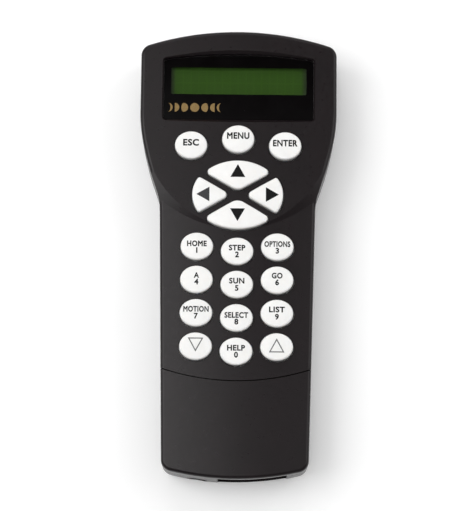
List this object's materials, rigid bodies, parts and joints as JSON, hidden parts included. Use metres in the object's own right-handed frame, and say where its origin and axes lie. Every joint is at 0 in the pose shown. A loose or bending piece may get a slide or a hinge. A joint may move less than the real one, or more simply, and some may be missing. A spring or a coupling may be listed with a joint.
{
  "type": "hand controller",
  "caption": "Wired keypad hand controller with a wide head, a small display under a black lens, arrow keys, a number pad, and modular sockets in the heel.",
  "frame": {"origin": "middle of the surface that the back rests on, under the centre of the case's outline", "axes": "+X to the right of the keypad as it is read, +Y towards the display end, +Z out of the face"},
  "size_m": [0.076, 0.174, 0.0271],
  "materials": {
    "case_plastic": "fine moulded texture",
    "key_silicone": "matte",
    "clear_silicone": "matte, translucent",
    "smoked_lens": "polished",
    "green_display": "satin",
    "light_guide": "satin",
    "black_sheet_metal": "satin",
    "circuit_board": "solder mask",
    "ribbon_film": "satin",
    "black_plastic": "satin",
    "chip_plastic": "matte",
    "gold_contact": "gold plated",
    "plated_steel": "bright plated",
    "aluminium_can": "satin",
    "ferrite": "matte",
    "red_lamp": "clear red",
    "label_film": "satin"
  },
  "bodies": {
    "case": {"front_shell": "case_plastic", "lower_front_cover": "case_plastic", "rear_shell": "case_plastic", "display_lens": "smoked_lens", "lcd_frame": "black_sheet_metal", "lcd_glass": "green_display", "lcd_backlight": "light_guide", "lcd_board": "circuit_board", "display_ribbon": "ribbon_film", "ribbon_connectors": "black_plastic", "keypad_mat": "clear_silicone", "main_board": "circuit_board", "key_contacts": "gold_contact", "key_lamps": "red_lamp", "hand_control_socket": "black_plastic", "hand_control_contacts": "gold_contact", "serial_socket": "black_plastic", "serial_socket_contacts": "gold_contact", "power_socket": "black_plastic", "power_pin": "plated_steel", "microcontroller": "chip_plastic", "memory_chip": "chip_plastic", "serial_driver_chip": "chip_plastic", "voltage_regulator": "chip_plastic", "capacitors": "aluminium_can", "power_inductor": "ferrite", "crystal": "plated_steel", "buzzer": "black_plastic", "small_resistors": "chip_plastic", "case_screws": "plated_steel", "board_screws": "plated_steel", "display_screws": "plated_steel", "rear_label": "label_film"},
    "esc_button": {"esc_key": "key_silicone"},
    "menu_button": {"menu_key": "key_silicone"},
    "enter_button": {"enter_key": "key_silicone"},
    "up_arrow_button": {"up_arrow_key": "key_silicone"},
    "down_arrow_button": {"down_arrow_key": "key_silicone"},
    "right_arrow_button": {"right_arrow_key": "key_silicone"},
    "left_arrow_button": {"left_arrow_key": "key_silicone"},
    "number_1_button": {"number_1_key": "key_silicone"},
    "number_2_button": {"number_2_key": "key_silicone"},
    "number_3_button": {"number_3_key": "key_silicone"},
    "number_4_button": {"number_4_key": "key_silicone"},
    "number_5_button": {"number_5_key": "key_silicone"},
    "number_6_button": {"number_6_key": "key_silicone"},
    "number_7_button": {"number_7_key": "key_silicone"},
    "number_8_button": {"number_8_key": "key_silicone"},
    "number_9_button": {"number_9_key": "key_silicone"},
    "scroll_down_button": {"scroll_down_key": "key_silicone"},
    "number_0_button": {"number_0_key": "key_silicone"},
    "scroll_up_button": {"scroll_up_key": "key_silicone"}
  },
  "joints": [
    {"name": "esc_press", "type": "slide", "parent": "case", "child": "esc_button", "axis": [0, 0, -1], "range_m": [0, 0.001], "stiffness_N_per_m": 1200},
    {"name": "menu_press", "type": "slide", "parent": "case", "child": "menu_button", "axis": [0, 0, -1], "range_m": [0, 0.001], "stiffness_N_per_m": 1200},
    {"name": "enter_press", "type": "slide", "parent": "case", "child": "enter_button", "axis": [0, 0, -1], "range_m": [0, 0.001], "stiffness_N_per_m": 1200},
    {"name": "up_arrow_press", "type": "slide", "parent": "case", "child": "up_arrow_button", "axis": [0, 0, -1], "range_m": [0, 0.001], "stiffness_N_per_m": 1200},
    {"name": "down_arrow_press", "type": "slide", "parent": "case", "child": "down_arrow_button", "axis": [0, 0, -1], "range_m": [0, 0.001], "stiffness_N_per_m": 1200},
    {"name": "right_arrow_press", "type": "slide", "parent": "case", "child": "right_arrow_button", "axis": [0, 0, -1], "range_m": [0, 0.001], "stiffness_N_per_m": 1200},
    {"name": "left_arrow_press", "type": "slide", "parent": "case", "child": "left_arrow_button", "axis": [0, 0, -1], "range_m": [0, 0.001], "stiffness_N_per_m": 1200},
    {"name": "number_1_press", "type": "slide", "parent": "case", "child": "number_1_button", "axis": [0, 0, -1], "range_m": [0, 0.001], "stiffness_N_per_m": 1200},
    {"name": "number_2_press", "type": "slide", "parent": "case", "child": "number_2_button", "axis": [0, 0, -1], "range_m": [0, 0.001], "stiffness_N_per_m": 1200},
    {"name": "number_3_press", "type": "slide", "parent": "case", "child": "number_3_button", "axis": [0, 0, -1], "range_m": [0, 0.001], "stiffness_N_per_m": 1200},
    {"name": "number_4_press", "type": "slide", "parent": "case", "child": "number_4_button", "axis": [0, 0, -1], "range_m": [0, 0.001], "stiffness_N_per_m": 1200},
    {"name": "number_5_press", "type": "slide", "parent": "case", "child": "number_5_button", "axis": [0, 0, -1], "range_m": [0, 0.001], "stiffness_N_per_m": 1200},
    {"name": "number_6_press", "type": "slide", "parent": "case", "child": "number_6_button", "axis": [0, 0, -1], "range_m": [0, 0.001], "stiffness_N_per_m": 1200},
    {"name": "number_7_press", "type": "slide", "parent": "case", "child": "number_7_button", "axis": [0, 0, -1], "range_m": [0, 0.001], "stiffness_N_per_m": 1200},
    {"name": "number_8_press", "type": "slide", "parent": "case", "child": "number_8_button", "axis": [0, 0, -1], "range_m": [0, 0.001], "stiffness_N_per_m": 1200},
    {"name": "number_9_press", "type": "slide", "parent": "case", "child": "number_9_button", "axis": [0, 0, -1], "range_m": [0, 0.001], "stiffness_N_per_m": 1200},
    {"name": "scroll_down_press", "type": "slide", "parent": "case", "child": "scroll_down_button", "axis": [0, 0, -1], "range_m": [0, 0.001], "stiffness_N_per_m": 1200},
    {"name": "number_0_press", "type": "slide", "parent": "case", "child": "number_0_button", "axis": [0, 0, -1], "range_m": [0, 0.001], "stiffness_N_per_m": 1200},
    {"name": "scroll_up_press", "type": "slide", "parent": "case", "child": "scroll_up_button", "axis": [0, 0, -1], "range_m": [0, 0.001], "stiffness_N_per_m": 1200}
  ]
}
